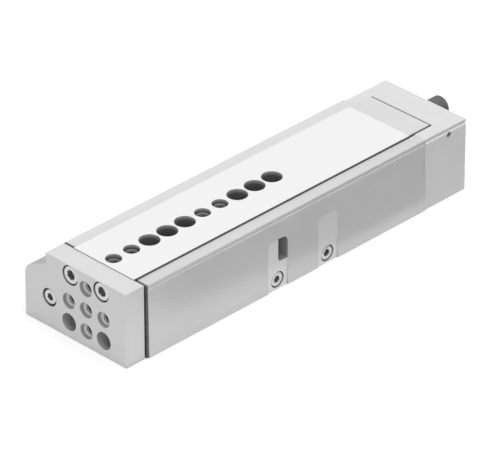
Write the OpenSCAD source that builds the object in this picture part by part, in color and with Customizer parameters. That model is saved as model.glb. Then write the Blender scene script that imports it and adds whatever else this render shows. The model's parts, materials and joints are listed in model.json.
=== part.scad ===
// Pneumatic slide table: a compact housing with one air cylinder in its side wing, and a
// ball-guided steel table on top that carries a front plate.
// X runs across the table, Y from the front of the housing to its rear, Z up.
// The origin is on the mounting face, below the table's centre line, at the housing's front.

/* [Travel and lengths] */
// Travel of the table
stroke = 80; // [60:1:80]
// Length of the steel table, from the front plate to the end piece
table_len = 159.45; // [158:0.1:175]
// Length of the end piece behind the steel table
end_len = 12.95; // [11:0.05:14]
// Gap between the end piece and the channel's rear wall
rear_gap = 1; // [0.5:0.05:1.5]
// Thickness of the wall that closes the channel at the rear
rear_wall = 13.9; // [12:0.1:20]
// Length of the rear block
rear_len = 24.6; // [22:0.1:28]
// Gap between the front plate and the housing
front_gap = 1.8; // [1.2:0.1:3]

/* [Housing] */
// Height of the housing, up to its rail tops
body_h = 34; // [32:0.1:38]
// Centre line to the near side of the rails
rail_near = 23.5; // [23:0.05:25]
// Centre line to the far side of the rails
rail_far = 23.85; // [23.2:0.05:25]
// Half width of the channel that the table runs in
channel_half = 17.55; // [17.5:0.05:18.2]
// Depth of the channel below the rail tops
channel_depth = 11.2; // [11:0.1:11.6]
// How far the near side bulges past its rail at the bottom
side_bulge = 0.4; // [0.3:0.05:1]
// Radius of the bulged side
side_bow_r = 1050; // [800:10:1400]
// Depth of the relief groove below the rail top
relief_d = 0.7; // [0.3:0.05:0.9]
// Height of the relief groove, from the rail top to its floor
relief_h = 2.2; // [1.5:0.1:2.5]

/* [Wing] */
// Centre line to the outer side of the wing
wing_x = 34.8; // [34.2:0.1:37]
// Distance from the rail tops down to the wing's slope
wing_drop = 3.8; // [3:0.1:5]
// Angle of the wing's slope
wing_angle = 25; // [20:1:28]
// Radius that rounds the slope into the wing's side
wing_r = 4.4; // [3.6:0.2:6]
// Radius of the wing's bottom corner
foot_r = 0.8; // [0.4:0.1:1.5]
// Diameter of the round inside of a switch slot
slot_d = 4; // [3.4:0.1:4.4]
// Width of a switch slot's mouth
slot_mouth = 2.6; // [2:0.1:3]

/* [Rear block] */
// Centre line to the near side of the rear block
rear_near = 23.4; // [23:0.05:23.5]
// Centre line to the far side of the rear block
rear_far = 22.85; // [22.5:0.05:23.6]
// Half width of the rear block's channel on the near side
rear_channel_near = 17.1; // [16.8:0.05:17.4]
// Depth of the shallow groove below the rear block's top edge
rear_relief_d = 0.35; // [0.2:0.05:0.6]
// Height of the sloping lip below that groove
rear_lip = 0.6; // [0.4:0.1:1]
// Diameter of the small vent hole in the rear block's side
vent_d = 2.6; // [1.5:0.1:3]
// Distance from the rear face to the vent hole
vent_back = 10.2; // [8:0.1:12]

/* [Table] */
// Width of the table's top
table_w = 34.5; // [33:0.1:34.8]
// How far the table's top stands above the rail tops
table_proud = 0.85; // [0.4:0.05:1.5]
// Thickness of the table's flange
flange_t = 4; // [3.5:0.1:4.2]
// Width of the grooved body below the flange
spine_w = 26; // [25.4:0.1:26.4]
// Gap between the parts that run past each other
run_gap = 0.4; // [0.3:0.05:0.5]
// Distance between neighbouring holes along the table
hole_pitch = 10; // [9.5:0.5:12]
// Distance from the front plate to the first table hole
hole_first = 5.55; // [5:0.05:8]
// How far the end piece's top stands above the rail tops
end_proud = 0.3; // [0.1:0.05:0.6]
// Gap between the end piece and the rear block's channel on the near side
end_side_gap = 0.75; // [0.5:0.05:1]
// Diameter of the access holes for the housing's mounting screws
access_d = 9; // [8.6:0.1:9.2]

/* [Threads and centring] */
// Bore of an M5 thread
m5_bore = 4.2; // [4.1:0.05:4.4]
// Bore of an M4 thread
m4_bore = 3.3; // [3.2:0.05:3.5]
// Depth of the 45 degree chamfer where a thread starts
thread_chamfer = 0.5; // [0.3:0.1:0.6]
// Diameter of the centring recess around a thread
centring_d = 7; // [6.6:0.1:7.4]
// Depth of the centring recess
centring_t = 1.6; // [1:0.1:2.4]
// Diameter of the centring recess around a mounting hole
mount_centring_d = 9; // [8:0.1:10]
// Bore of a mounting hole, an M6 thread that lets an M5 screw through
mount_d = 5.2; // [5:0.1:5.4]

/* [Front plate] */
// Thickness of the front plate
plate_t = 10.1; // [9.5:0.1:12]
// How far the front plate stays above the mounting face
plate_lift = 0.1; // [0.1:0.05:0.5]
// Height of the front plate's top above the rail tops
plate_proud = 0.5; // [0:0.05:0.8]
// Half width of the front plate's raised middle
plate_half = 23; // [22.6:0.1:24]
// How far the front plate's wing stands past the housing's
plate_over = 0.6; // [0:0.05:0.8]
// Height of the middle of the cross of threads
cross_z = 17.3; // [16.8:0.1:17.6]
// Distance from the middle of the cross to its outer threads
cross_pitch = 10; // [9.5:0.1:10]
// Diameter of the two plain locating bores
locating_d = 8; // [7:0.1:8.4]

/* [Screws] */
// How far the screw heads lie below the faces around them
head_sink = 0.3; // [0.2:0.05:1]
// Clearance around a screw's head
head_gap = 0.25; // [0.2:0.05:0.4]
// Chamfer on the edge of a screw's head
head_chamfer = 0.35; // [0.2:0.05:0.5]
// Length of the plate's fixing screws
plate_screw_len = 14; // [12:1:20]
// Half spacing of the plate's fixing screws
plate_screw_x = 8.9; // [8.7:0.1:9.5]
// Distance from the table's top down to the plate's fixing screws
plate_screw_drop = 5.05; // [5:0.05:5.4]
// Length of the screw in the front end of the piston rod
rod_screw_len = 16; // [12:1:20]
// Clearance around the rod screw's head
rod_head_gap = 0.55; // [0.3:0.05:0.8]
// Length of the screw that holds the piston
piston_screw_len = 24; // [22:1:30]
// Length of the end piece's screws
end_screw_len = 18; // [16:1:24]
// Half spacing of the end piece's screws
end_screw_x = 8.5; // [8:0.1:9]
// Length of the rear block's screws
rear_screw_len = 30; // [28:1:36]
// Length of the scraper's screws
scraper_screw_len = 7; // [5:1:10]
// Distance from the outer sides to the scraper's screws
scraper_screw_in = 3.7; // [3.5:0.1:4.2]
// Height of the scraper's screws and of the rear block's lower screws
low_screw_z = 6; // [5.8:0.1:6.5]
// Diameter of the plate's dowels
dowel_d = 3; // [2.5:0.5:3]
// Length of the plate's dowels
dowel_len = 8; // [6:1:12]
// Half spacing of the plate's dowels
dowel_x = 3; // [2.8:0.1:3.4]

/* [Air cylinder] */
// Diameter of the piston's bore
bore_d = 16; // [15:0.5:16.5]
// Centre line to the bore's axis
bore_x = 21.3; // [21.1:0.1:21.6]
// Distance from the channel's floor down to the bore's axis
bore_drop = 8.7; // [8.4:0.1:9]
// Diameter of the piston rod
rod_d = 8; // [7:0.5:9]
// Length of the rod's bearing bush
bush_len = 14; // [12:0.5:17]
// Outer diameter of the bush and of the rod's seal
bush_d = 13; // [12:0.5:14]
// Length of the piston
piston_len = 18; // [17:0.5:20]
// Length of the cap that closes the bore
cap_len = 8; // [7.5:0.5:9]

/* [Guide] */
// Diameter of the guide balls
ball_d = 4; // [3.8:0.1:4.1]
// Half distance between the two rows of balls
ball_x = 14; // [13.9:0.05:14.1]
// Distance from the rail tops down to the balls' centres
ball_drop = 7.2; // [7:0.05:7.4]
// Distance between neighbouring balls
ball_pitch = 4.9; // [4.7:0.1:5.2]
// Number of balls in one row
ball_count = 15; // [10:1:15]
// Thickness of a ball cage
cage_t = 1; // [0.8:0.1:1.2]
// Height of a ball cage
cage_h = 5.6; // [5.2:0.1:6]
// Distance from the housing's front to the first ball, with the table in
cage_front = 44.5; // [44:0.5:48]

/* [Stops] */
// Diameter of the threaded bores that hold the stop sleeves
stop_bore = 10; // [9.6:0.05:10.1]
// Diameter of the elastic buffer tips
buffer_d = 6; // [5:0.5:7]
// Length that the front buffer tip stands out of its sleeve
buffer_out = 3; // [2:0.1:4]
// Distance from the rail tops down to the rear stop's axis
rear_stop_drop = 7.3; // [7:0.1:7.6]
// Length of the rear stop behind the rear block
rear_stop_out = 10; // [6:0.5:14]
// Distance from the channel's rear wall to the rear stop's grub screw
grub_back = 7; // [6:0.5:9]
// Centre line to the front stop's axis
front_stop_x = 10; // [9.9:0.1:10.4]
// Height of the front stop's axis
front_stop_z = 14.2; // [14:0.1:14.6]
// Length of the front stop's sleeve
front_stop_len = 30; // [20:1:36]
// Width of the slot that the end piece's lug runs in
lug_slot_w = 8.4; // [8:0.1:8.8]
// Distance that the lug keeps from the slot's walls
lug_gap = 0.5; // [0.3:0.05:0.8]

/* [Clamps] */
// Distance from the front stop's buffer tip to the clamp screw
clamp_back = 4.25; // [3.5:0.05:5.5]
// Distance between the two clamp stations
clamp_pitch = 29.2; // [26:0.1:31]
// Width of the pocket milled around a clamp screw
pocket_w = 11.5; // [10:0.1:13]
// Height of the pocket's top edge
pocket_top = 23.7; // [21:0.1:26]
// Radius of the pocket's corners
pocket_r = 3; // [2:0.1:3.6]
// Height of the clamp screws' axis
clamp_z = 4.45; // [4.3:0.05:4.8]
// Height of the window's lower edge
window_low = 12.7; // [11:0.1:14]
// Distance from the pocket's middle to the window's front edge
window_y = 0.4; // [0:0.1:1]
// Radius of the window's lower front corner
window_r = 1.8; // [0.5:0.1:2.2]
// Depth of the window's wide outer part
window_depth = 5; // [3:0.5:6]
// Length of a clamp slit
slit_len = 24; // [16:0.5:26]
// Width of a clamp slit
slit_w = 1; // [0.6:0.1:1.5]

/* [Hidden] */

$fn = 64;
eps = 0.01;
past = 1;               // how far a cut runs past a face
seat = 0.02;            // clearance between parts that seat on each other
slip = 0.05;            // radial clearance of parts that slide in a bore
thread_gap = 0.02;      // radial clearance of a screw in its thread's bore
stop_slip = 0.1;        // radial clearance of a stop sleeve in its bore
tip_gap = 1;            // room past the tip of a screw or dowel

aluminium = "silver";
ground_steel = "gainsboro";
bright_steel = "lightgray";
dark_steel = "dimgray";
bronze = "peru";
black_rubber = "#303030";

// Screws: shank diameter, head diameter, head height, key width
m5_screw = [m5_bore - 2 * thread_gap, 8.5, 5, 4];
m4_screw = [m4_bore - 2 * thread_gap, 7, 4, 3];
m25_screw = [2, 4.4, 2.5, 2];

// Places along Y
table_y0 = -front_gap;
table_y1 = table_y0 + table_len;
end_y1 = table_y1 + end_len;
plate_y0 = -front_gap - plate_t;
channel_end = end_y1 + rear_gap;
housing_len = channel_end + rear_wall;
body_len = housing_len - rear_len;
stop_tip = table_y1 - stroke - seat;
clamp_y = stop_tip - clamp_back;
lug_slot_y0 = stop_tip - buffer_out + seat;

// Heights
channel_z = body_h - channel_depth;
table_top = body_h + table_proud;
flange_low = table_top - flange_t;
table_low = channel_z + run_gap;
plate_top = body_h + plate_proud;
bore_z = channel_z - bore_drop;
ball_z = body_h - ball_drop;
rear_stop_z = body_h - rear_stop_drop;
wing_top = body_h - wing_drop;
plate_screw_z = table_top - plate_screw_drop;
lug_slot_low = front_stop_z - stop_bore / 2 + 0.5;

// ------------------------------------------------------------ general shapes

// A cylinder along +Y from y0
module bar_y(d, len, y0 = 0) {
    translate([0, y0, 0]) rotate([-90, 0, 0]) cylinder(d = d, h = len);
}

// A hexagonal socket along +Y from y0
module hex_y(key, len, y0 = 0) {
    translate([0, y0, 0]) rotate([-90, 0, 0]) cylinder(d = key / cos(30), h = len, $fn = 6);
}

// A profile drawn in X and Z, extruded along +Y from y0
module along_y(len, y0 = 0) {
    translate([0, y0 + len, 0]) rotate([90, 0, 0]) linear_extrude(len) children();
}

// A ring around the Y axis
module ring_y(outer, inner, width, y0 = 0) {
    difference() {
        bar_y(outer, width, y0);
        bar_y(inner, width + 2 * past, y0 - past);
    }
}

// A socket head screw: its head ends at z = 0 and its shank runs down
module socket_screw(size, length) {
    top_d = size[1] - 2 * head_chamfer;
    difference() {
        union() {
            translate([0, 0, -size[2]]) intersection() {
                cylinder(d = size[1], h = size[2]);
                cylinder(d1 = top_d + 2 * size[2], d2 = top_d, h = size[2]);
            }
            translate([0, 0, -size[2] - length]) cylinder(d = size[0], h = length + eps);
        }
        translate([0, 0, -size[2] / 2])
            cylinder(d = size[3] / cos(30), h = size[2], $fn = 6);
    }
}

// The bore for a socket screw whose head ends at z = 0: head recess and thread
module socket_screw_bore(size, length, gap = head_gap) {
    translate([0, 0, -size[2] - seat])
        cylinder(d = size[1] + 2 * gap, h = size[2] + seat + 2 * past);
    translate([0, 0, -size[2] - length - tip_gap])
        cylinder(d = size[0] + 2 * thread_gap, h = length + tip_gap);
}

// The bore of an M5 thread in a centring recess, for a face at z = 0, depth long
module recessed_thread(depth) {
    translate([0, 0, -depth]) cylinder(d = m5_bore, h = depth + past);
    translate([0, 0, -centring_t - thread_chamfer])
        cylinder(d1 = m5_bore, d2 = m5_bore + 2 * thread_chamfer, h = thread_chamfer);
    translate([0, 0, -centring_t]) cylinder(d = centring_d, h = centring_t + past);
}

// Turns a screw so that its head faces the front
module facing_front(y) { translate([0, y + head_sink, 0]) rotate([90, 0, 0]) children(); }

// Turns a screw so that its head faces the rear
module facing_rear(y) { translate([0, y - head_sink, 0]) rotate([-90, 0, 0]) children(); }

// What a round corner at the lower left of the plane cuts away
module corner_cut_2d(r) {
    difference() {
        translate([-past, -past]) square(r + past);
        translate([r, r]) circle(r);
    }
}

// Outline of the section: raised middle, sloping wing with a round shoulder, and foot
module section_2d(near, middle, top, wing, low = 0) {
    shoulder_z = wing_top - wing_r / cos(wing_angle) - (wing - wing_r - middle) * tan(wing_angle)
        + wing_r / 200;
    edge_z = wing_top - (wing + past - middle) * tan(wing_angle);
    shoulder = [-wing + wing_r, shoulder_z];
    touch = shoulder + wing_r * [-sin(wing_angle), cos(wing_angle)];
    difference() {
        translate([-wing, low]) square([wing + near, top - low]);
        polygon([[-wing - past, edge_z], [-middle, wing_top], [-middle, top + past],
            [-wing - past, top + past]]);
        difference() {
            translate([-wing - past, shoulder_z]) square([touch[0] + wing + past, top]);
            translate(shoulder) circle(wing_r);
        }
        translate([-wing, low]) corner_cut_2d(foot_r);
    }
}

// Relief groove below a rail top, cut inwards from x
module relief_2d(x, depth, top) {
    floor_z = top - relief_h;
    polygon([[x + 2, top + past], [x, top + past], [x, top], [x - depth, floor_z + 0.15],
        [x - depth, floor_z], [x + 2, floor_z]]);
}

// Groove below the rear block's top edge: its lower side is a sloping lip
module rear_relief_2d() {
    lip_z = body_h - relief_h - rear_lip / 4;
    polygon([[rear_near + 2, body_h + past], [rear_near, body_h + past], [rear_near, body_h],
        [rear_near - rear_relief_d, lip_z + rear_lip], [rear_near, lip_z], [rear_near + 2, lip_z]]);
}

// ------------------------------------------------------------ housing

module main_section_2d() {
    outer = rail_near + side_bulge;
    difference() {
        intersection() {
            section_2d(outer, rail_far, body_h, wing_x);
            translate([outer - side_bow_r, 0]) circle(side_bow_r, $fn = 720);
        }
        relief_2d(rail_near, relief_d, body_h);
    }
}

// Channel that the table runs in, open to the top
module channel_2d() {
    translate([-channel_half, channel_z]) square([2 * channel_half, body_h]);
}

// Slots for the position switches in the wing's side
slot_gap = 12.8;
slot_up = 3.5;          // the upper slot's height above the bore's axis
slot_lip = 0.6;         // length of the mouth before the slot's round inside
slot_z = [bore_z + slot_up - slot_gap, bore_z + slot_up];

module switch_slots_2d() {
    for (z = slot_z) {
        translate([-wing_x - past, z - slot_mouth / 2]) square([past + slot_d / 2, slot_mouth]);
        translate([-wing_x + slot_d / 2 + slot_lip, z]) circle(d = slot_d);
    }
}

// A clamp pocket in the near side, centred on y = 0
module clamp_pocket() {
    mid = pocket_top - pocket_r;
    translate([rear_near, 0, 0]) rotate([0, 90, 0]) linear_extrude(3 * past) {
        translate([-mid, -pocket_w / 2]) square([mid + past, pocket_w]);
        for (side = [-1, 1])
            translate([-mid, side * (pocket_w / 2 - pocket_r)]) circle(pocket_r);
        translate([-pocket_top, -pocket_w / 2 + pocket_r])
            square([pocket_r + eps, pocket_w - 2 * pocket_r]);
    }
}

// Window from the first pocket to the front stop: a round-cornered mouth, then a passage
module stop_window() {
    width = pocket_w / 2 - window_y;
    mouth_x = rear_near - window_depth;
    translate([mouth_x, window_y, 0]) rotate([0, 90, 0])
        linear_extrude(window_depth + 2 * past) difference() {
            translate([-pocket_top, 0]) square([pocket_top - window_low, width]);
            translate([-pocket_top, width]) rotate(-90) corner_cut_2d(pocket_r);
            translate([-window_low, 0]) rotate(90) corner_cut_2d(window_r);
        }
    translate([front_stop_x, window_y, window_low])
        cube([mouth_x - front_stop_x + eps, width, channel_z - 2 - window_low]);
}

module clamp_screw_at(y) {
    translate([rear_near - head_sink, y, clamp_z]) rotate([0, 90, 0]) children();
}

clamp_screw_len = rear_near - front_stop_x;
clamp_places = [clamp_y, clamp_y + clamp_pitch];
port_back = 8;          // the front air port's place behind the bush
rear_port_back = 12;
port_drop = 2.9;
front_port_y = bush_len + port_back;
rear_port_y = housing_len - rear_port_back;
port_z = bore_z - port_drop;
mount_head_t = 5.5;
mount_y = [for (i = [3, 8, 13]) table_y0 + hole_first + i * hole_pitch];

module mount_holes() {
    for (y = mount_y) translate([0, y, 0]) {
        translate([0, 0, -past]) cylinder(d = mount_d, h = body_h);
        translate([0, 0, channel_z - mount_head_t]) cylinder(d = access_d, h = body_h);
        translate([0, 0, -past]) cylinder(d = mount_centring_d, h = centring_t + past);
    }
}

module air_port(y) {
    translate([-wing_x - past, y, port_z]) rotate([0, 90, 0])
        cylinder(d = m5_bore, h = wing_x + past - bore_x - rod_d / 8);
}

module housing() {
    color(aluminium) difference() {
        along_y(body_len) difference() {
            main_section_2d();
            channel_2d();
            switch_slots_2d();
        }
        rod_place() {
            bar_y(bore_d, body_len, bush_len + seal_t + 2 * seat);
            bar_y(bush_d + 2 * seat, bush_len + seal_t + 2 * seat + past + eps, -past);
        }
        air_port(front_port_y);
        translate([front_stop_x, 0, front_stop_z])
            bar_y(stop_bore, stop_tip + clamp_pitch + past, -past);
        translate([front_stop_x - lug_slot_w / 2, lug_slot_y0, lug_slot_low])
            cube([lug_slot_w, body_len, body_h]);
        mount_holes();
        for (y = clamp_places) {
            translate([0, y, 0]) clamp_pocket();
            clamp_screw_at(y) socket_screw_bore(m4_screw, clamp_screw_len);
            translate([front_stop_x - slit_w / 2, y - slit_len / 2, -past])
                cube([slit_w, slit_len, front_stop_z + past]);
        }
        translate([0, clamp_y, 0]) stop_window();
        rear_screw_places() facing_rear(housing_len) socket_screw_bore(m4_screw, rear_screw_len);
        scraper_screw_places() bar_y(m25_screw[0] + 2 * thread_gap, scraper_screw_len + tip_gap);
    }
}

// ------------------------------------------------------------ rear block

// Places of the rear block's screws: X, and Z
rear_screw_in = 4.5;
rear_screw_up = 2 * rear_screw_in;
passage_wall = 6;       // wall behind the passage from the bore to the rear port
vent_depth = 6;
rear_screw_at = [[rear_screw_in - wing_x, low_screw_z], [-bore_x / 3, low_screw_z],
    [rear_near - rear_screw_in, low_screw_z], [rear_near - rear_screw_in, low_screw_z + rear_screw_up]];

module rear_screw_places() {
    for (p = rear_screw_at) translate([p[0], 0, p[1]]) children();
}

module rear_block() {
    color(aluminium) difference() {
        along_y(rear_len, body_len) difference() {
            section_2d(rear_near, rear_far, body_h, wing_x);
            rear_relief_2d();
            switch_slots_2d();
        }
        along_y(channel_end - body_len + past, body_len - past)
            translate([-channel_half, channel_z])
                square([channel_half + rear_channel_near, body_h]);
        translate([front_stop_x - lug_slot_w / 2, body_len - past, lug_slot_low])
            cube([lug_slot_w, channel_end - body_len + past, body_h]);
        translate([0, 0, rear_stop_z]) bar_y(stop_bore, rear_wall + 2 * past, channel_end - past);
        rod_place() {
            bar_y(bore_d, cap_len / 2 + seat + past, body_len - past);
            bar_y(bore_d / 2, rear_len - passage_wall, body_len);
            bar_y(m5_bore, rear_len + past, body_len);
        }
        air_port(rear_port_y);
        translate([rear_near, housing_len - vent_back, body_h - relief_h - vent_d / 2])
            rotate([0, 90, 0]) cylinder(d = vent_d, h = 2 * vent_depth, center = true);
        translate([0, channel_end + grub_back, -past])
            cylinder(d = m4_bore, h = rear_stop_z + past);
        rear_screw_places() facing_rear(housing_len) socket_screw_bore(m4_screw, rear_screw_len);
    }
}

module rear_block_screws() {
    color(dark_steel) rear_screw_places() facing_rear(housing_len)
        socket_screw(m4_screw, rear_screw_len);
}

// ------------------------------------------------------------ stops

stop_d = stop_bore - 2 * stop_slip;
stop_key = 4;
stop_socket = 5;
rear_buffer_in = 12;

module rear_stop_sleeve() {
    len = rear_wall + rear_stop_out;
    color(dark_steel) translate([0, channel_end, rear_stop_z]) difference() {
        bar_y(stop_d, len);
        bar_y(buffer_d, rear_buffer_in + past, -past);
        hex_y(stop_key, stop_socket, len - stop_socket + past);
    }
}

module rear_stop_buffer() {
    out = rear_gap - seat;
    color(black_rubber) translate([0, channel_end - out, rear_stop_z])
        bar_y(buffer_d - 2 * seat, rear_buffer_in + out - seat);
}

grub_key_depth = 3;

module rear_stop_grub_screw() {
    length = 10;
    tip = rear_stop_z - stop_d / 2 - seat;
    color(dark_steel) translate([0, channel_end + grub_back, tip - length]) difference() {
        cylinder(d = m4_bore - 2 * thread_gap, h = length);
        translate([0, 0, -past]) cylinder(d = 2 / cos(30), h = grub_key_depth + past, $fn = 6);
    }
}

front_buffer_in = 10;

module front_stop_sleeve() {
    tip = stop_tip - buffer_out;
    color(dark_steel) translate([front_stop_x, tip - front_stop_len, front_stop_z]) difference() {
        bar_y(stop_d, front_stop_len);
        bar_y(buffer_d, front_buffer_in + past, front_stop_len - front_buffer_in);
        hex_y(stop_key, stop_socket, -past);
    }
}

module front_stop_buffer() {
    color(black_rubber) translate([front_stop_x, stop_tip, front_stop_z])
        bar_y(buffer_d - 2 * seat, front_buffer_in + buffer_out - seat,
            -front_buffer_in - buffer_out + seat);
}

module clamp_screws() {
    color(bright_steel) for (y = clamp_places)
        clamp_screw_at(y) socket_screw(m4_screw, clamp_screw_len);
}

// ------------------------------------------------------------ front of the housing

seal_t = 3;
scraper_t = 1;
scraper_inset = 0.1;

module scraper_screw_places() {
    for (x = [scraper_screw_in - wing_x, rail_near - scraper_screw_in])
        translate([x, 0, low_screw_z]) children();
}

module front_scraper() {
    hole = m25_screw[0] + 0.4;
    color(black_rubber) difference() {
        along_y(scraper_t, -scraper_t) difference() {
            section_2d(rail_near - scraper_inset, rail_far - scraper_inset,
                body_h - scraper_inset, wing_x - scraper_inset, scraper_inset);
            table_section_2d(run_gap);
        }
        rod_place() bar_y(rod_d + 2 * slip, 3 * scraper_t, -2 * scraper_t);
        translate([front_stop_x, 0, front_stop_z])
            bar_y(stop_bore, 3 * scraper_t, -2 * scraper_t);
        scraper_screw_places() bar_y(hole, 3 * scraper_t, -2 * scraper_t);
    }
}

module scraper_screws() {
    color(dark_steel) scraper_screw_places() {
        bar_y(m25_screw[0] + 0.3, scraper_t, -scraper_t);
        bar_y(m25_screw[0], scraper_screw_len);
    }
}

module rod_place() {
    translate([-bore_x, 0, bore_z]) children();
}

module rod_bush() {
    color(bronze) rod_place() ring_y(bush_d, rod_d + 2 * slip, bush_len);
}

module rod_seal() {
    color(black_rubber) rod_place() ring_y(bush_d, rod_d + 2 * slip, seal_t, bush_len + seat);
}

cap_groove_w = 1.8;
cap_groove_depth = 1.3;
cap_groove_d = bore_d - 2 * cap_groove_depth;

module bore_cap() {
    color(aluminium) rod_place() difference() {
        bar_y(bore_d - 2 * seat, cap_len, body_len - cap_len / 2);
        bar_y(rod_d / 2, cap_len + 2 * past, body_len - cap_len / 2 - past);
        ring_y(bore_d + past, cap_groove_d, cap_groove_w, body_len - cap_groove_w - past);
    }
}

module bore_cap_seal() {
    color(black_rubber) rod_place()
        ring_y(bore_d - 2 * seat, cap_groove_d + 2 * seat, cap_groove_w - 2 * seat,
            body_len - cap_groove_w - past + seat);
}

module rear_port_plug() {
    len = 5;
    color(dark_steel) rod_place() difference() {
        bar_y(m5_bore - 2 * thread_gap, len, housing_len - len - 0.5);
        hex_y(2.5, len, housing_len - len + 2);
    }
}

// ------------------------------------------------------------ guide

// The guide strip on the near side, with its ball groove
groove_d = ball_d + 2 * slip;
strip_inner = ball_x + ball_d / 4;

module guide_strip() {
    color(bright_steel) along_y(body_len - 2 * run_gap, run_gap) difference() {
        translate([strip_inner, channel_z + seat])
            square([channel_half - seat - strip_inner, flange_low - run_gap - channel_z - seat]);
        translate([ball_x, ball_z]) circle(d = groove_d);
    }
}

module guide_rail_near() { guide_strip(); }

module guide_rail_far() { mirror([1, 0, 0]) guide_strip(); }

ball_y = [for (i = [0 : ball_count - 1]) cage_front + i * ball_pitch];

module ball_row() {
    for (y = ball_y) translate([ball_x, y, ball_z]) sphere(d = ball_d, $fn = 32);
}

module ball_cage() {
    rim = 1;
    length = (ball_count - 1) * ball_pitch + ball_d + 2 * rim;
    difference() {
        translate([ball_x - cage_t / 2, cage_front - ball_d / 2 - rim, ball_z - cage_h / 2])
            cube([cage_t, length, cage_h]);
        for (y = ball_y) translate([ball_x, y, ball_z]) rotate([0, 90, 0])
            cylinder(d = groove_d, h = 2 * cage_t, center = true);
    }
}

module ball_cage_near() { color(bronze) ball_cage(); }

module ball_cage_far() { color(bronze) mirror([1, 0, 0]) ball_cage(); }

module balls_near() { color(bright_steel) ball_row(); }

module balls_far() { color(bright_steel) mirror([1, 0, 0]) ball_row(); }

// ------------------------------------------------------------ table

// Section of the steel table, grown by gap for the parts that it runs through
module table_section_2d(gap = 0) {
    translate([-table_w / 2 - gap, flange_low - gap]) square([table_w + 2 * gap, body_h]);
    translate([-spine_w / 2 - gap, table_low - gap])
        square([spine_w + 2 * gap, flange_low - table_low + gap + past]);
}

threaded_holes = [0, 1, 5, 6];
access_holes = [2, 3, 4, 7, 8, 9];

module table_hole_at(i) {
    translate([0, table_y0 + hole_first + i * hole_pitch, table_top]) children();
}

module slide_table() {
    color(ground_steel) difference() {
        along_y(table_len - seat, table_y0) difference() {
            intersection() {
                table_section_2d();
                translate([-table_w, 0]) square([2 * table_w, table_top]);
            }
            for (side = [-1, 1]) translate([side * ball_x, ball_z]) circle(d = groove_d);
        }
        for (i = threaded_holes) table_hole_at(i) recessed_thread(body_h);
        for (i = access_holes) table_hole_at(i)
            translate([0, 0, -body_h]) cylinder(d = access_d, h = body_h + past);
        plate_screw_places() facing_front(plate_y0) socket_screw_bore(m5_screw, plate_screw_len);
        dowel_places() bar_y(dowel_d, dowel_len / 2 + tip_gap + past, table_y0 - past);
        end_screw_places() facing_rear(end_y1) socket_screw_bore(m4_screw, end_screw_len);
    }
}

module end_screw_places() {
    for (side = [-1, 1])
        translate([side * end_screw_x, 0, (table_low + body_h) / 2]) children();
}

module end_piece() {
    near = rear_channel_near - end_side_gap;
    low = flange_low;
    high = body_h + end_proud;
    lug_w = lug_slot_w - 2 * lug_gap;
    lug_low = lug_slot_low + lug_gap;
    color(aluminium) difference() {
        along_y(end_len, table_y1) {
            translate([-spine_w / 2, table_low]) square([spine_w, high - table_low]);
            translate([-table_w / 2, low]) square([table_w / 2 + near, high - low]);
            translate([front_stop_x - lug_w / 2, lug_low])
                square([lug_w, table_low - lug_low + past]);
        }
        end_screw_places() facing_rear(end_y1) socket_screw_bore(m4_screw, end_screw_len);
    }
}

module end_piece_screws() {
    color(dark_steel) end_screw_places() facing_rear(end_y1)
        socket_screw(m4_screw, end_screw_len);
}

// ------------------------------------------------------------ front plate

module plate_screw_places() {
    for (side = [-1, 1]) translate([side * plate_screw_x, 0, plate_screw_z]) children();
}

module dowel_places() {
    for (side = [-1, 1]) translate([side * dowel_x, 0, (table_low + table_top) / 2]) children();
}

cross_at = [[0, 0], [1, 0], [-1, 0], [0, 1], [0, -1]];

module front_plate() {
    color(aluminium) difference() {
        along_y(plate_t - seat, plate_y0)
            section_2d(plate_half, plate_half, plate_top, wing_x + plate_over, plate_lift);
        for (p = cross_at)
            translate([p[0] * cross_pitch, plate_y0, cross_z + p[1] * cross_pitch])
                rotate([90, 0, 0]) recessed_thread(plate_t + past);
        for (side = [-1, 1])
            translate([side * cross_pitch, plate_y0, cross_z - cross_pitch])
                bar_y(locating_d, plate_t + 2 * past, -past);
        plate_screw_places() facing_front(plate_y0) socket_screw_bore(m5_screw, plate_screw_len);
        dowel_places() bar_y(dowel_d, dowel_len / 2 + tip_gap + past,
            table_y0 - dowel_len / 2 - tip_gap);
        rod_place() facing_front(plate_y0)
            socket_screw_bore(m4_screw, rod_screw_len, rod_head_gap);
    }
}

module plate_screws() {
    color(bright_steel) plate_screw_places() facing_front(plate_y0)
        socket_screw(m5_screw, plate_screw_len);
}

module plate_dowels() {
    color(bright_steel) dowel_places()
        bar_y(dowel_d - 2 * seat, dowel_len, table_y0 - dowel_len / 2);
}

module rod_screw() {
    color(bright_steel) rod_place() facing_front(plate_y0)
        socket_screw(m4_screw, rod_screw_len);
}

// ------------------------------------------------------------ piston

piston_y1 = body_len - cap_len / 2 - 0.5;
piston_y0 = piston_y1 - piston_len;
piston_d = bore_d - 2 * slip;
seal_depth = 2;
groove_root = bore_d - 2 * seal_depth;
seal_w = 2.2;
magnet_w = 3;
seal_inset = 2.5;

// Grooves of the piston as distance from its front face and width: seal, magnet, seal
piston_grooves = [[seal_inset, seal_w], [(piston_len - magnet_w) / 2, magnet_w],
    [piston_len - seal_inset - seal_w, seal_w]];

module piston_rod() {
    color(bright_steel) rod_place() difference() {
        bar_y(rod_d, piston_y0 + front_gap, -front_gap);
        facing_front(plate_y0) socket_screw_bore(m4_screw, rod_screw_len);
        facing_rear(piston_y1) socket_screw_bore(m4_screw, piston_screw_len);
    }
}

module piston() {
    color(aluminium) rod_place() difference() {
        bar_y(piston_d, piston_len - seat, piston_y0 + seat);
        for (g = piston_grooves) ring_y(bore_d + past, groove_root, g[1], piston_y0 + g[0]);
        facing_rear(piston_y1) socket_screw_bore(m4_screw, piston_screw_len);
    }
}

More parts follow.
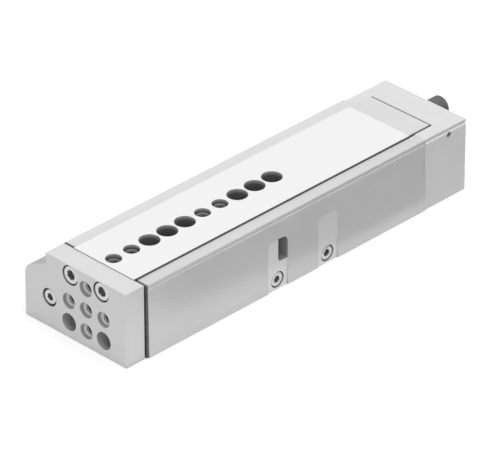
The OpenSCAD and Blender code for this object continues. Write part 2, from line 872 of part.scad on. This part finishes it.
module piston_seals() {
    color(black_rubber) rod_place() for (g = [piston_grooves[0], piston_grooves[2]])
        ring_y(bore_d - 2 * seat, groove_root + 2 * seat, g[1] - 2 * seat,
            piston_y0 + g[0] + seat);
}

module piston_magnet() {
    g = piston_grooves[1];
    color(dark_steel) rod_place()
        ring_y(piston_d - 8 * slip, groove_root + 2 * seat, g[1] - 2 * seat,
            piston_y0 + g[0] + seat);
}

module piston_screw() {
    color(dark_steel) rod_place() facing_rear(piston_y1)
        socket_screw(m4_screw, piston_screw_len);
}

housing();
rear_block();
rear_block_screws();
guide_rail_near();
guide_rail_far();
front_scraper();
scraper_screws();
rod_bush();
rod_seal();
bore_cap();
bore_cap_seal();
rear_port_plug();
rear_stop_sleeve();
rear_stop_buffer();
rear_stop_grub_screw();
front_stop_sleeve();
front_stop_buffer();
clamp_screws();
slide_table();
end_piece();
end_piece_screws();
front_plate();
plate_screws();
plate_dowels();
rod_screw();
piston_rod();
piston();
piston_seals();
piston_magnet();
piston_screw();
ball_cage_near();
ball_cage_far();
balls_near();
balls_far();
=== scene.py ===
"""Pneumatic slide table: camera, studio, materials and the detail that the solids leave out."""
import json
from math import atan2, cos, hypot, pi, radians, sin, tan

import bmesh
import bpy
from mathutils import Matrix, Vector


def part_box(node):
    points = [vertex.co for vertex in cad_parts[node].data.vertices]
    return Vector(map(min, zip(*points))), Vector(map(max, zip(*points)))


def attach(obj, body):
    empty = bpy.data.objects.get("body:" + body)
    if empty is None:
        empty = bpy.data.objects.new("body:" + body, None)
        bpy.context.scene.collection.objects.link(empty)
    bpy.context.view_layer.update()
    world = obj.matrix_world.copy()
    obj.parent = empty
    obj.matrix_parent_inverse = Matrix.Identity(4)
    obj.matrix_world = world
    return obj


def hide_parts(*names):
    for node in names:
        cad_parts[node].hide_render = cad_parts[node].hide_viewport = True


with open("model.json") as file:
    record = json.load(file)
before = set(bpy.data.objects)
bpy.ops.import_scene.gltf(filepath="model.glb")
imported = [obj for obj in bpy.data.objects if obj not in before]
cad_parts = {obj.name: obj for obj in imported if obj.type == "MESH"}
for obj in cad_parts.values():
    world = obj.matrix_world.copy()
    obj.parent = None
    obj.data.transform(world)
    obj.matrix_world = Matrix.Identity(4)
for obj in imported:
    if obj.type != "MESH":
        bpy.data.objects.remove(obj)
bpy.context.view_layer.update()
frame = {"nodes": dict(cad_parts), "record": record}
scene = bpy.context.scene
scene.view_settings.view_transform = "Standard"

MM = 0.001
WHITE = (1, 1, 1, 1)


def grey(level):
    return (level, level, level)


# ---------------------------------------------------------------- camera and studio

# The camera was fitted to the photograph: angles, distance in metres, lens and sensor in
# millimetres, and the point it looks at.
CAMERA_AZIMUTH, CAMERA_ELEVATION = radians(44.772), radians(31.267)
CAMERA_DISTANCE = 2.1979
CAMERA_LENS, CAMERA_SENSOR = 384.93, 36
CAMERA_TARGET = Vector((-4.196, 85.314, 13.513)) * MM
LIGHTS_TARGET = Vector((0, 0.09, 0.02))


def make_camera():
    level = cos(CAMERA_ELEVATION)
    back = Vector((sin(CAMERA_AZIMUTH) * level, -cos(CAMERA_AZIMUTH) * level,
                   sin(CAMERA_ELEVATION)))
    data = bpy.data.cameras.new("camera")
    data.sensor_width = CAMERA_SENSOR
    data.lens = CAMERA_LENS
    data.clip_end = 20
    camera = bpy.data.objects.new("camera", data)
    camera.location = CAMERA_TARGET + back * CAMERA_DISTANCE
    camera.rotation_euler = back.to_track_quat("Z", "Y").to_euler()
    scene.collection.objects.link(camera)
    scene.camera = camera


def seen_directly(tree):
    """1 for camera, glossy and transmission rays, 0 for the rays that light the object."""
    path = tree.nodes.new("ShaderNodeLightPath")
    total = path.outputs["Is Camera Ray"]
    for name in ("Is Glossy Ray", "Is Transmission Ray"):
        largest = tree.nodes.new("ShaderNodeMath")
        largest.operation = "MAXIMUM"
        tree.links.new(total, largest.inputs[0])
        tree.links.new(path.outputs[name], largest.inputs[1])
        total = largest.outputs[0]
    return total


def make_world(ambient):
    """White surroundings for the camera and in mirrors, which light the object by ambient."""
    world = bpy.data.worlds.new("studio")
    world.use_nodes = True
    scene.world = world
    tree = world.node_tree
    tree.nodes.clear()
    lit, shown = (tree.nodes.new("ShaderNodeBackground") for _ in range(2))
    lit.inputs["Strength"].default_value = ambient
    for background in (lit, shown):
        background.inputs["Color"].default_value = WHITE
    mix = tree.nodes.new("ShaderNodeMixShader")
    out = tree.nodes.new("ShaderNodeOutputWorld")
    tree.links.new(seen_directly(tree), mix.inputs[0])
    tree.links.new(lit.outputs[0], mix.inputs[1])
    tree.links.new(shown.outputs[0], mix.inputs[2])
    tree.links.new(mix.outputs[0], out.inputs["Surface"])


def make_floor(glow):
    """White floor: a little glow for direct view keeps it white, and the shadow stays."""
    bpy.ops.mesh.primitive_plane_add(size=6, location=(0, 0.09, -0.05 * MM))
    floor = bpy.context.object
    floor.name = "floor"
    material = bpy.data.materials.new("floor_white")
    material.use_nodes = True
    tree = material.node_tree
    shader = tree.nodes["Principled BSDF"]
    shader.inputs["Base Color"].default_value = (*grey(0.62), 1)
    shader.inputs["Roughness"].default_value = 0.9
    shader.inputs["Specular IOR Level"].default_value = 0.1
    strength = tree.nodes.new("ShaderNodeMath")
    strength.operation = "MULTIPLY"
    strength.inputs[1].default_value = glow
    tree.links.new(seen_directly(tree), strength.inputs[0])
    shader.inputs["Emission Color"].default_value = WHITE
    tree.links.new(strength.outputs[0], shader.inputs["Emission Strength"])
    floor.data.materials.append(material)


def softbox(name, place, size, power):
    """Area light at place, turned to the object's middle. Metal doesn't mirror it."""
    data = bpy.data.lights.new(name, "AREA")
    data.shape = "RECTANGLE"
    data.size, data.size_y = size
    data.energy = power
    light = bpy.data.objects.new(name, data)
    light.location = place
    light.rotation_euler = (Vector(place) - LIGHTS_TARGET).to_track_quat("Z", "Y").to_euler()
    light.visible_camera = light.visible_glossy = False
    scene.collection.objects.link(light)


def make_flag():
    """Grey card on the floor beside the object, which its near side mirrors."""
    height = 0.5 * MM
    corners = ((0.045, 0.03), (0.3, 0.03), (0.3, 0.45), (0.03, 0.3), (0.03, 0.12))
    data = bpy.data.meshes.new("flag")
    data.from_pydata([(x, y, height) for x, y in corners], [], [range(len(corners))])
    flag = bpy.data.objects.new("flag", data)
    scene.collection.objects.link(flag)
    flag.visible_camera = flag.visible_shadow = flag.visible_diffuse = False
    material = bpy.data.materials.new("flag_grey")
    material.use_nodes = True
    shader = material.node_tree.nodes["Principled BSDF"]
    shader.inputs["Base Color"].default_value = (*grey(0.25), 1)
    shader.inputs["Roughness"].default_value = 0.9
    flag.data.materials.append(material)


def make_lights():
    """Place and size in metres, power in watts."""
    softbox("top_light", (0.15, 0.1, 1.3), (1.4, 1.4), 16)
    softbox("side_light", (0.7, -0.45, 0.3), (0.6, 0.4), 1.62)
    softbox("front_light", (-0.3, -1.3, 0.4), (1.4, 0.5), 1.65)


# ---------------------------------------------------------------- materials

class Finish:
    """A node material for metal or rubber, built from grain, mottling, brighter edges and painted
    shade in recesses.
    """

    def __init__(self, name, color, metallic, roughness):
        self.material = bpy.data.materials.new(name)
        self.material.use_nodes = True
        self.tree = self.material.node_tree
        self.shader = self.tree.nodes["Principled BSDF"]
        self.shader.inputs["Metallic"].default_value = metallic
        self.material.diffuse_color = (*color, 1)
        self.color = color
        self.roughness = roughness
        self.place = self.tree.nodes.new("ShaderNodeTexCoord").outputs["Object"]
        self.tone = None
        self.normal = None
        self.rough = None
        self.dull = None

    def node(self, kind, **values):
        made = self.tree.nodes.new("ShaderNode" + kind)
        for key, value in values.items():
            setattr(made, key, value)
        return made

    def link(self, a, b):
        self.tree.links.new(a, b)

    def noise(self, scale, detail=3.0, stretch=(1, 1, 1)):
        """Noise with features of about 1 / scale metres, stretched along an axis."""
        mapping = self.node("Mapping")
        mapping.inputs["Scale"].default_value = stretch
        self.link(self.place, mapping.inputs["Vector"])
        noise = self.node("TexNoise")
        noise.inputs["Scale"].default_value = scale
        noise.inputs["Detail"].default_value = detail
        self.link(mapping.outputs[0], noise.inputs["Vector"])
        return noise.outputs["Fac"]

    def ranged(self, value, low, high, start=0.3, end=0.7):
        """value from start to end becomes low to high."""
        ranged = self.node("MapRange")
        for key, number in (("From Min", start), ("From Max", end),
                            ("To Min", low), ("To Max", high)):
            ranged.inputs[key].default_value = number
        self.link(value, ranged.inputs["Value"])
        return ranged.outputs[0]

    def math(self, operation, a, b):
        made = self.node("Math", operation=operation)
        for socket, value in zip(made.inputs, (a, b)):
            if isinstance(value, (int, float)):
                socket.default_value = value
            else:
                self.link(value, socket)
        return made.outputs[0]

    def shade(self, factor):
        """Multiplies the colour's tone by factor."""
        self.tone = factor if self.tone is None else self.math("MULTIPLY", self.tone, factor)

    def tint(self, mask, factor):
        """Multiplies the colour's tone by factor where mask is 1."""
        self.shade(self.ranged(mask, 1, factor, 0, 1))

    def bump(self, height, depth):
        """Height (0 to 1) becomes a bump that is depth metres deep."""
        bump = self.node("Bump")
        bump.inputs["Strength"].default_value = 1
        bump.inputs["Distance"].default_value = depth
        self.link(height, bump.inputs["Height"])
        if self.normal:
            self.link(self.normal, bump.inputs["Normal"])
        self.normal = bump.outputs[0]

    def soft_edges(self, radius, brighter):
        """Rounds the edges' shading and makes their tone brighter."""
        bevel = self.node("Bevel", samples=6)
        bevel.inputs["Radius"].default_value = radius
        self.normal = bevel.outputs[0]
        true = self.node("NewGeometry").outputs["True Normal"]
        dot = self.node("VectorMath", operation="DOT_PRODUCT")
        self.link(bevel.outputs[0], dot.inputs[0])
        self.link(true, dot.inputs[1])
        self.shade(self.ranged(dot.outputs["Value"], 1 + brighter, 1, 0.75, 0.98))

    def painted_recess_shade(self, depth, deepest_shade, open_at):
        """Painted shade: darkens the tone of places that see little of their surroundings within
        depth metres.
        """
        occlusion = self.node("AmbientOcclusion", samples=8, only_local=False)
        occlusion.inputs["Distance"].default_value = depth
        self.shade(self.ranged(occlusion.outputs["AO"], deepest_shade, 1, 0.05, open_at))

    def axis(self, name, of="place"):
        """One coordinate of the place in metres, or of the surface's normal."""
        split = self.node("SeparateXYZ")
        source = self.place if of == "place" else self.node("NewGeometry").outputs["True Normal"]
        self.link(source, split.inputs[0])
        return split.outputs[name]

    def above(self, value, limit):
        """1 where value is greater than limit, else 0."""
        return self.math("GREATER_THAN", value, limit)

    def below(self, value, limit):
        """1 where value is less than limit, else 0."""
        return self.math("LESS_THAN", value, limit)

    def both(self, *masks):
        """1 where every mask is 1, else 0."""
        product = masks[0]
        for mask in masks[1:]:
            product = self.math("MULTIPLY", product, mask)
        return product

    def within(self, value, low, high):
        """1 where value, in metres, is between low and high millimetres, else 0."""
        return self.both(self.above(value, low * MM), self.below(value, high * MM))

    def done(self):
        """Links what was gathered to the shader, and returns the material."""
        if self.tone is not None:
            mix = self.node("VectorMath", operation="SCALE")
            mix.inputs[0].default_value = self.color
            self.link(self.tone, mix.inputs["Scale"])
            self.link(mix.outputs[0], self.shader.inputs["Base Color"])
        if self.rough is not None:
            self.link(self.rough, self.shader.inputs["Roughness"])
        else:
            self.shader.inputs["Roughness"].default_value = self.roughness
        if self.normal:
            self.link(self.normal, self.shader.inputs["Normal"])
        return self.material


# How machining lines that run along an axis stretch the noise that draws them.
ALONG_X, ALONG_Y, ALONG_Z, ALL_WAYS = (0.04, 1, 1), (1, 0.03, 1), (1, 1, 0.04), (1, 1, 1)


def metal(name, color, metallic, roughness, lines=ALONG_Y, line_scale=4000, line_tone=0.03,
          line_depth=0.002, mottle=0.02, edge=0.12, grain=0.002, dark=0.15, open_at=0.42,
          even=False, special=None):
    """Metal with fine machining lines, slow mottling, matt grain, brighter edges and painted shade
    in recesses.

    line_tone and mottle are shares of the tone, line_depth and grain are millimetres. edge is
    how much brighter the edges are, dark the tone of the painted shade at the bottom of a recess,
    open_at how open a place has to be for its full tone. even keeps the roughness the same all
    over, and special adds what one part needs, mostly painted light and shade."""
    finish = Finish(name, color, metallic, roughness)
    finish.soft_edges(0.12 * MM, edge)
    # painted shade in recesses, darkest at the bottom of a recess
    finish.painted_recess_shade(6 * MM, dark, open_at)
    if special:
        special(finish)
    fine = finish.noise(line_scale, 4, lines)
    slow = finish.noise(60, 2)
    finish.shade(finish.ranged(fine, 1 - line_tone, 1 + line_tone))
    finish.shade(finish.ranged(slow, 1 - mottle, 1 + mottle))
    worn = finish.math("MULTIPLY", finish.math("ADD", fine, slow), 0.5)
    spread = 0.01 if even else 0.15
    finish.rough = finish.ranged(worn, roughness * (1 - spread), roughness * (1 + spread))
    if finish.dull is not None:
        finish.rough = finish.math("ADD", finish.rough, finish.dull)
    finish.bump(fine, line_depth * MM)
    finish.bump(finish.noise(9000, 2), grain * MM)
    return finish.done()


def rubber(name, color):
    """Matt rubber with a fine, uneven skin."""
    finish = Finish(name, color, 0, 0.6)
    finish.soft_edges(0.2 * MM, 0.25)
    finish.shade(finish.ranged(finish.noise(400, 4), 0.85, 1.2))
    finish.rough = finish.ranged(finish.noise(900, 3), 0.5, 0.75)
    finish.bump(finish.noise(3500, 4), 0.01 * MM)
    return finish.done()


def groove_painted_light(finish, ledge=1.38, least_up=0.9):
    """Painted shade on the groove's faces below the top edge that lean down, and a painted
    highlight on its upward-facing ledge.
    """
    groove_z, ledge_z, side_x = 31.6 * MM, 32.4 * MM, 22 * MM
    z, up, x = finish.axis("Z"), finish.axis("Z", "normal"), finish.axis("X")
    high = finish.both(finish.above(z, groove_z), finish.above(x, side_x))
    # painted shade on the groove's faces that lean down
    finish.tint(finish.both(high, finish.below(up, -0.1)), 0.95)
    # painted highlight on the upward-facing ledge
    finish.tint(finish.both(high, finish.above(up, least_up), finish.below(z, ledge_z)), ledge)


def rear_groove(finish):
    """The rear block's groove has a sloping ledge, which gets a weaker painted highlight."""
    groove_painted_light(finish, 1.24, 0.3)


def screw_flank_shade(finish):
    """Painted shade darkens the flanks of a screw's head that lean left or down, towards the plate.
    """
    x, y, z = (finish.axis(name, "normal") for name in "XYZ")
    steepest = finish.math("MAXIMUM", finish.math("ABSOLUTE", x, 0), finish.math("ABSOLUTE", y, 0))
    flank = finish.below(steepest, 0.97)
    away = finish.below(finish.math("ADD", x, z), 0.2)
    finish.tint(finish.both(flank, away), 0.6)


def milled_pockets(finish):
    """The flat milled pockets in the extruded side are lighter than the side around them."""
    shallow = finish.within(finish.axis("X"), 23.3, 23.41)
    finish.tint(finish.both(shallow, finish.above(finish.axis("X", "normal"), 0.999)), 1.18)


def stop_window_shade(finish):
    """Painted shade darkens the passage behind the window in the side."""
    room = (("X", 12, 23.3), ("Y", 60, 85), ("Z", 12, 24))
    inside = [finish.within(finish.axis(name), low, high) for name, low, high in room]
    finish.tint(finish.both(*inside), 0.6)


def far_rail_highlight(finish):
    """Painted light brightens the top of the rail on the wing's side, which faces the light."""
    far = finish.below(finish.axis("X"), -17 * MM)
    finish.tint(finish.both(far, finish.above(finish.axis("Z", "normal"), 0.99)), 1.07)


def housing_side(finish):
    # The far rail's painted highlight, the pockets' lighter tone, the window's painted shade, and
    # the groove's painted shade and highlight.
    far_rail_highlight(finish)
    milled_pockets(finish)
    stop_window_shade(finish)
    groove_painted_light(finish)


def plate_painted_shade(finish):
    """Painted shade darkens the plate's bores and its slope and shoulder, which lean away from the
    light; painted light brightens the floors of the bores' recesses.
    """
    skin, wing = 0.08, 13      # millimetres below the plate's faces, and from the wing's side
    low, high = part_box("front_plate")
    deep = [finish.within(finish.axis(name), a / MM + skin, b / MM - skin)
            for name, a, b in zip("XYZ", low, high)]
    shoulder = finish.below(finish.axis("X"), low[0] + wing * MM)
    inside = finish.both(*deep, finish.math("SUBTRACT", 1, shoulder))
    # painted shade inside the plate's bores and recesses
    finish.tint(inside, 0.72)
    recess_floor = finish.below(finish.axis("Y", "normal"), -0.3)
    # painted light on the recesses' floors, which face the front
    finish.tint(finish.both(inside, recess_floor), 1.5)
    leaning = finish.below(finish.axis("X", "normal"), -0.3)
    # painted shade on the slope and shoulder faces that lean away from the light
    finish.tint(finish.both(leaning, shoulder), 0.54)


def ground_top_and_bore_shade(finish):
    """Only the table's top keeps its full tone, and its flanks are dark and dull. Painted shade
    darkens its bores, more with depth and most on their floors, and a painted glint brightens their
    chamfers.
    """
    flank, floor_shade, chamfer_glint = 0.2, 0.25, 1.1
    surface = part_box("slide_table")[1][2]
    z, up = finish.axis("Z"), finish.axis("Z", "normal")
    top = finish.above(z, surface - 0.05 * MM)
    bores = finish.both(finish.within(finish.axis("X"), -8, 8),
                        finish.within(finish.axis("Y"), 0, 150))
    # painted shade in the bores, darker deeper below the top
    depth = finish.ranged(z, 0.24, 0.75, surface - 2 * MM, surface - 0.1 * MM)
    # painted shade on the bores' floors and a painted glint on their chamfers
    for least_up, share in ((0.9, floor_shade), (0.3, chamfer_glint)):
        facing_up = finish.both(finish.above(up, least_up), bores)
        depth = finish.math("MULTIPLY", depth, finish.ranged(facing_up, 1, share, 0, 1))
    in_bores = finish.math("MULTIPLY", bores, finish.math("SUBTRACT", depth, flank))
    finish.shade(finish.math("MAXIMUM", top, finish.math("ADD", in_bores, flank)))
    finish.dull = finish.ranged(top, 0.4, 0, 0, 1)


def tapped(name, axis, mouth, deep, tone):
    """Thread with painted shade that deepens from the mouth of its hole to the place deep."""
    def depth_shade(finish):
        finish.shade(finish.ranged(finish.axis(axis), 1, 0.05, mouth, deep))
    return metal(name, grey(tone), 0.85, 0.3, ALL_WAYS, 3000, dark=1, special=depth_shade)


def make_materials():
    """Makes the materials, gives one to every solid, and returns them by slot."""
    anodised = metal("anodised_housing", grey(0.7), 0.25, 0.4, special=housing_side)
    rear = metal("anodised_rear_block", grey(0.775), 0.02, 0.45, ALONG_X, special=rear_groove)
    milled = metal("milled_plate", grey(0.74), 0.25, 0.42, ALONG_X, edge=0.15, open_at=0.62,
                   special=plate_painted_shade)
    ground = metal("ground_table", grey(0.9), 0.6, 0.3, line_tone=0.006, line_depth=0.0001,
                   mottle=0.0005, edge=0, grain=0.0001, dark=0.35, even=True,
                   special=ground_top_and_bore_shade)
    hardened = metal("hardened_steel", grey(0.72), 1, 0.18, line_tone=0.02)
    bright = metal("nickelled_screw", grey(0.65), 0.8, 0.3, ALONG_Z, 2500, edge=0.1, dark=0.42,
                   open_at=0.75, special=screw_flank_shade)
    dark = metal("blackened_steel", grey(0.17), 0.9, 0.35, ALONG_Z, 2500, edge=0.5)
    bronze = metal("sintered_bronze", (0.62, 0.45, 0.25), 0.9, 0.45, ALL_WAYS, 2500,
                   line_tone=0.1)
    black = rubber("black_rubber", grey(0.11))
    slots = {"anodised_aluminium": anodised, "milled_aluminium": milled, "ground_steel": ground,
             "hardened_steel": hardened, "bright_screws": bright, "dark_steel": dark,
             "bronze": bronze, "black_rubber": black}
    for subpart in frame["record"]["subparts"]:
        paint(frame["nodes"][subpart["node"]], slots[subpart["material_slot"]])
    paint(frame["nodes"]["rear_block"], rear)
    return slots


def paint(obj, material):
    if not obj.material_slots:
        obj.data.materials.append(material)
    for slot in obj.material_slots:
        slot.material = material


# ---------------------------------------------------------------- detailed pieces

SEGMENTS = 48      # around every turned piece

# Sizes in millimetres: the head's diameter and height, the thread's inner diameter, the key.
M4 = {"head": 7, "height": 4, "minor": 3.26, "key": 3}
M5 = {"head": 8.5, "height": 5, "minor": 4.16, "key": 4}
M5_BORE, M5_PITCH = 4.2, 0.8


def circle(radius):
    return lambda angle: radius


def hexagon(key):
    """Distance from the middle to the edge of a hexagon that is key wide across its flats."""
    return lambda angle: key / 2 / cos((angle + pi / 6) % (pi / 3) - pi / 6)


def threaded(radius, depth, pitch, at):
    """Section through a thread with its crest at radius, at the axial position at."""
    def shape(angle):
        phase = (at / pitch - angle / (2 * pi)) % 1
        return radius - depth * min(1, max(0, 1.5 * abs(2 * phase - 1) - 0.25))
    return shape


def thread_rings(start, end, radius, depth, pitch, chamfer):
    """Rings of a threaded shank from start to end, with chamfered ends."""
    steps = int((end - start) / (pitch / 6))
    rings = []
    for i in range(steps + 1):
        at = start + (end - start) * i / steps
        limit = radius - max(0, chamfer - (at - start), chamfer - (end - at))
        shape = threaded(radius, depth, pitch, at)
        rings.append((at, lambda angle, shape=shape, limit=limit: min(limit, shape(angle))))
    return rings


def add_rings(mesh, rings, place):
    """Adds the skin through rings of (axial position, radius by angle), closed at both ends.

    place is a matrix that takes the axis Z, in millimetres, to where the piece sits."""
    loops = []
    for at, radius in rings:
        loop = []
        for i in range(SEGMENTS):
            angle = 2 * pi * i / SEGMENTS
            r = radius(angle)
            loop.append(mesh.verts.new(place @ Vector((r * cos(angle), r * sin(angle), at))))
        loops.append(loop)
    for low, high in zip(loops, loops[1:]):
        for i in range(SEGMENTS):
            j = (i + 1) % SEGMENTS
            mesh.faces.new((low[i], low[j], high[j], high[i]))
    for loop, at in ((loops[0], rings[0][0]), (loops[-1], rings[-1][0])):
        middle = mesh.verts.new(place @ Vector((0, 0, at)))
        for i in range(SEGMENTS):
            mesh.faces.new((loop[i], loop[(i + 1) % SEGMENTS], middle))


def make_piece(name, mesh, material, body, replaced=()):
    """Makes an object of mesh that moves with body, and stands in for the nodes replaced."""
    bmesh.ops.recalc_face_normals(mesh, faces=mesh.faces)
    data = bpy.data.meshes.new(name)
    mesh.to_mesh(data)
    mesh.free()
    piece = bpy.data.objects.new(name, data)
    scene.collection.objects.link(piece)
    data.materials.append(material)
    piece.data.shade_smooth()
    piece.data.set_sharp_from_angle(angle=radians(32))
    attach(piece, body)
    if replaced:
        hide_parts(*replaced)


def seat(point, direction):
    """Matrix from millimetres along Z to metres along direction, starting at point."""
    turn = Vector(direction).to_track_quat("Z", "Y").to_matrix().to_4x4()
    return Matrix.Translation(point) @ turn @ Matrix.Scale(MM, 4)


def islands(node):
    """Boxes of the separate solids of a CAD node, each as (lowest corner, highest corner)."""
    mesh = bmesh.new()
    mesh.from_mesh(frame["nodes"][node].data)
    bmesh.ops.remove_doubles(mesh, verts=mesh.verts, dist=1e-6)
    left = set(mesh.verts)
    boxes = []
    while left:
        front = [left.pop()]
        found = []
        while front:
            vert = front.pop()
            found.append(vert.co.copy())
            for edge in vert.link_edges:
                other = edge.other_vert(vert)
                if other in left:
                    left.remove(other)
                    front.append(other)
        boxes.append((Vector(min(c[i] for c in found) for i in range(3)),
                      Vector(max(c[i] for c in found) for i in range(3))))
    mesh.free()
    return sorted(boxes, key=lambda box: tuple(box[0]))


def screw_rings(length, head, height, minor, key):
    """Socket screw from its tip at 0 to its head's top: thread, knurled head, hexagon."""
    def knurl(angle):
        return radius - 0.07 * (0.5 + 0.5 * cos(angle * SEGMENTS / 2))
    radius, top = head / 2, length + height
    rings = thread_rings(0, length, minor / 2, 0.25, minor * 0.18, 0.4)
    rings += [(length, circle(radius - 0.15)), (length + 0.15, knurl), (top - 0.75, knurl)]
    for below_top, cut in ((0.65, 0.05), (0.5, 0.08), (0.3, 0.15), (0.12, 0.3), (0, 0.6)):
        rings.append((top - below_top, circle(radius - cut)))
    rings += [(top, circle(key * 0.61)), (top - 0.15, hexagon(key)),
              (top - height / 2, hexagon(key)), (top - height / 2 - 0.6, circle(0.3))]
    return rings


def make_screws(materials):
    """Each screw node gets detailed screws in its own solids' places."""
    kinds = {"plate_screws": ("Y", -1, M5, "table", "bright_screws"),
             "rod_screw": ("Y", -1, M4, "table", "bright_screws"),
             "clamp_screws": ("X", 1, M4, "base", "bright_screws"),
             "end_piece_screws": ("Y", 1, M4, "table", "dark_steel"),
             "rear_block_screws": ("Y", 1, M4, "base", "dark_steel")}
    for node, (axis, sign, size, body, slot) in kinds.items():
        mesh = bmesh.new()
        k = "XYZ".index(axis)
        direction = [0, 0, 0]
        direction[k] = sign
        for low, high in islands(node):
            tip = (low + high) / 2
            tip[k] = low[k] if sign > 0 else high[k]
            length = (high[k] - low[k]) / MM - size["height"]
            add_rings(mesh, screw_rings(length, **size), seat(tip, direction))
        make_piece(node + "_detailed", mesh, materials[slot], body, [node])


PLATE_MIDDLE = -23         # wing's side of the plate's raised middle, in millimetres
WING_ANGLE = radians(25)   # of the slope between the raised middle and the shoulder
# Height at which the slope starts and the shoulder's radius: the solid's and the plate's.
SOLID_WING, SOLID_SHOULDER = 30.2, 4.4
PLATE_WING, PLATE_SHOULDER = 29.5, 6.1


def shoulder_centre(side, top, radius):
    """Centre of the arc that rounds the slope into the wing's side at side, in metres."""
    run = PLATE_MIDDLE * MM - side - radius * MM
    return (side + radius * MM,
            top * MM - radius * MM / cos(WING_ANGLE) - run * tan(WING_ANGLE))


def make_plate(materials):
    """The front plate, whose slope starts lower and whose shoulder is rounder than the solid's."""
    solid = frame["nodes"]["front_plate"].data
    mesh = bmesh.new()
    verts = [mesh.verts.new(vert.co) for vert in solid.vertices]
    for polygon in solid.polygons:
        mesh.faces.new([verts[i] for i in polygon.vertices])
    bmesh.ops.remove_doubles(mesh, verts=mesh.verts, dist=1e-6)
    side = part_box("front_plate")[0][0]
    old = shoulder_centre(side, SOLID_WING, SOLID_SHOULDER)
    new = shoulder_centre(side, PLATE_WING, PLATE_SHOULDER)
    arc_start = pi / 2 + WING_ANGLE * 0.9
    for vert in mesh.verts:
        x, z = vert.co.x - old[0], vert.co.z - old[1]
        angle = atan2(z, x)
        on_arc = abs(hypot(x, z) - SOLID_SHOULDER * MM) < 0.05 * MM and angle > arc_start
        to_corner = hypot(vert.co.x - PLATE_MIDDLE * MM, vert.co.z - SOLID_WING * MM)
        if on_arc:
            vert.co.x = new[0] + PLATE_SHOULDER * MM * cos(angle)
            vert.co.z = new[1] + PLATE_SHOULDER * MM * sin(angle)
        elif to_corner < 0.01 * MM:
            vert.co.z = PLATE_WING * MM
    make_piece("front_plate_detailed", mesh, materials["milled_aluminium"], "table",
               ["front_plate"])


def make_stops(materials):
    """Threaded sleeves with a hexagon in one end and the buffer's bore in the other."""
    buffer_radius, pitch, key = 3.02, 1, 4
    for node, sign, depth in (("rear_stop_sleeve", 1, 12), ("front_stop_sleeve", -1, 10)):
        low, high = (Vector(corner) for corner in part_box(node))
        start = (low + high) / 2
        start.y = low.y if sign > 0 else high.y
        length = (high.y - low.y) / MM
        radius = (high.x - low.x) / MM / 2
        rings = [(depth, circle(buffer_radius)), (0, circle(buffer_radius))]
        rings += thread_rings(0, length, radius, 0.3, pitch, 0.35)
        rings += [(length, circle(key * 0.65)), (length - 0.3, hexagon(key)),
                  (length - 5, hexagon(key)), (length - 5.8, circle(0.4))]
        mesh = bmesh.new()
        add_rings(mesh, rings, seat(start, (0, sign, 0)))
        make_piece(node + "_threaded", mesh, materials["dark_steel"], "base", [node])


def add_inner_thread(mesh, place, start, end):
    """Fine helical ridge inside an M5 thread's bore, from start to end along the axis."""
    foot, crest = M5_BORE / 2 + 0.01, M5_BORE / 2 - 0.25
    steps = SEGMENTS / 2       # in one turn
    previous = None
    for i in range(int((end - start) / M5_PITCH * steps) + 1):
        angle = 2 * pi * i / steps
        row = []
        for radius, turn in ((foot, 0), (crest, 0.45), (foot, 0.9)):
            at = start + M5_PITCH * (i / steps + turn)
            point = Vector((radius * cos(angle), radius * sin(angle), at))
            row.append(mesh.verts.new(place @ point))
        if previous:
            for a, b in ((0, 1), (1, 2), (2, 0)):
                mesh.faces.new((previous[a], previous[b], row[b], row[a]))
        else:
            mesh.faces.new(row[::-1])
        previous = row
    mesh.faces.new(row)


def make_inner_threads(materials):
    """Threads in the plate's cross, in the table's small holes and in the air ports."""
    pitch, port_spacing = 10, 151.5      # of the plate's cross, and between the air ports
    mounts = {mount["name"]: Vector(mount["pos_m"]) for mount in frame["record"]["mounts"]}

    cross = mounts["plate_cross"]
    thickness = (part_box("front_plate")[1][1] - cross.y) / MM
    plate = bmesh.new()
    for x, z in ((0, 0), (1, 0), (-1, 0), (0, 1), (0, -1)):
        point = cross + Vector((x, 0, z)) * pitch * MM
        add_inner_thread(plate, seat(point, (0, 1, 0)), -0.4, thickness - 0.3)
    thread = tapped("tapped_plate", "Y", cross.y, cross.y + 1.2 * MM, 0.7)
    make_piece("plate_threads", plate, thread, "table")

    top = mounts["table_threads_front"].z
    thickness = (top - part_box("slide_table")[0][2]) / MM
    table = bmesh.new()
    for name in ("table_threads_front", "table_threads_rear"):
        for half in (-0.5, 0.5):
            point = mounts[name] + Vector((0, half, 0)) * pitch * MM
            add_inner_thread(table, seat(point, (0, 0, -1)), 0, thickness - 0.5)
    thread = tapped("tapped_table", "Z", top, top - 0.5 * MM, 0.3)
    make_piece("table_threads", table, thread, "table")

    ports = bmesh.new()
    for half in (-0.5, 0.5):
        point = mounts["air_ports"] + Vector((0, half, 0)) * port_spacing * MM
        add_inner_thread(ports, seat(point, (1, 0, 0)), 0.3, 6)
    make_piece("port_threads", ports, materials["anodised_aluminium"], "base")


# ---------------------------------------------------------------- the scene

make_camera()
make_world(0.2)
make_floor(0.5)
make_flag()
make_lights()
materials = make_materials()
make_screws(materials)
make_plate(materials)
make_stops(materials)
make_inner_threads(materials)
